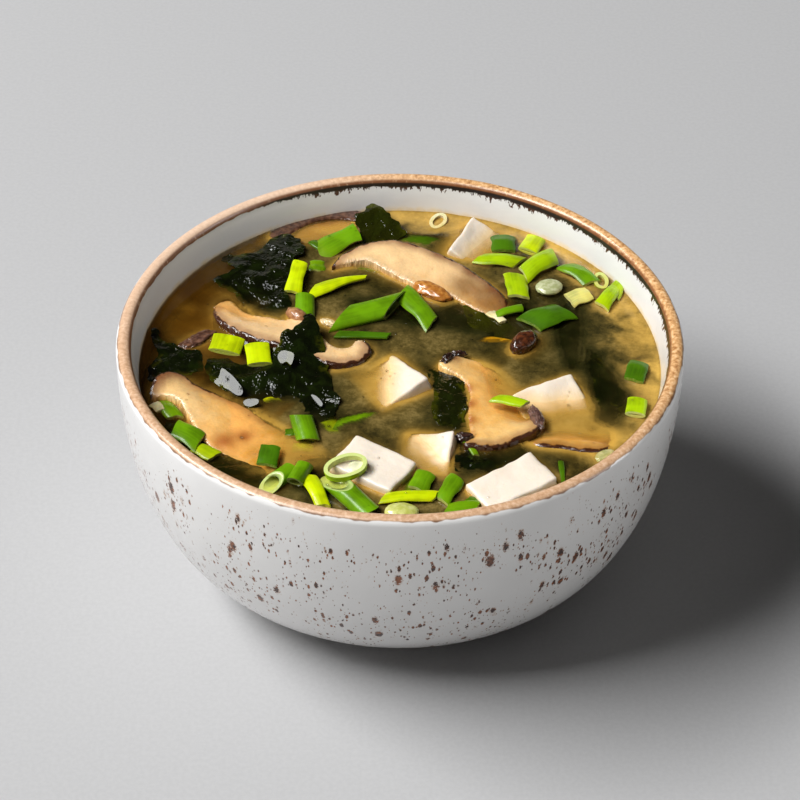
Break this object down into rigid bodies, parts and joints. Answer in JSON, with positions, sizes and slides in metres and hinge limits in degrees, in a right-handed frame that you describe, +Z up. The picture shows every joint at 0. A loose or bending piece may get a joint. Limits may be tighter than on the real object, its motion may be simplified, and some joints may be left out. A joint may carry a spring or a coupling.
{
  "type": "bowl of miso soup",
  "caption": "Round stoneware bowl on a low foot ring, filled with miso soup that holds tofu cubes, shiitake slices, wakame leaves and cut scallions.",
  "frame": {"origin": "centre of the foot ring, on the table", "axes": "+Z up along the bowl's axis, +X to the right and +Y to the back as the toppings are laid out; the bowl itself is round, so X and Y are set by the toppings"},
  "size_m": [0.15, 0.15, 0.0695],
  "materials": {
    "stoneware": "gloss",
    "broth": "gloss",
    "tofu": "satin",
    "shiitake": "satin",
    "wakame": "gloss",
    "scallion": "satin"
  },
  "bodies": {
    "root": {"bowl": "stoneware", "soup": "broth", "tofu_centre": "tofu", "tofu_right": "tofu", "tofu_front": "tofu", "tofu_small": "tofu", "tofu_front_right": "tofu", "tofu_back": "tofu", "shiitake_left": "shiitake", "shiitake_back": "shiitake", "shiitake_front_left": "shiitake", "shiitake_centre": "shiitake", "shiitake_right": "shiitake", "shiitake_sunk": "shiitake", "shiitake_nugget": "shiitake", "wakame_back_left": "wakame", "wakame_back": "wakame", "wakame_centre": "wakame", "wakame_left": "wakame", "wakame_middle": "wakame", "wakame_front": "wakame", "wakame_right": "wakame", "wakame_olive": "wakame", "scallion_back_strip": "scallion", "scallion_upright": "scallion", "scallion_yellow_leaf": "scallion", "scallion_middle_strip": "scallion", "scallion_thin_dark": "scallion", "scallion_pair_left": "scallion", "scallion_pair_right": "scallion", "scallion_front_left": "scallion", "scallion_dark_square": "scallion", "scallion_yellow_curl": "scallion", "scallion_yellow_strip": "scallion", "scallion_front_square": "scallion", "scallion_front_leaf": "scallion", "scallion_front_end": "scallion", "scallion_on_shiitake": "scallion", "scallion_right_square": "scallion", "scallion_right_yellow": "scallion", "scallion_back_square": "scallion", "scallion_back_yellow": "scallion", "scallion_back_long": "scallion", "scallion_back_fold": "scallion", "scallion_back_light": "scallion", "scallion_back_pale": "scallion", "scallion_back_green": "scallion", "scallion_back_wedge": "scallion", "scallion_dark_strip": "scallion", "scallion_dark_leaf": "scallion", "scallion_big_tube": "scallion", "scallion_short_tube": "scallion", "scallion_pale_tube": "scallion", "scallion_front_tube": "scallion", "scallion_front_roll": "scallion", "scallion_long_tube": "scallion", "scallion_ring_on_tofu": "scallion", "scallion_pale_round": "scallion", "scallion_clear_ring": "scallion"}
  },
  "joints": []
}
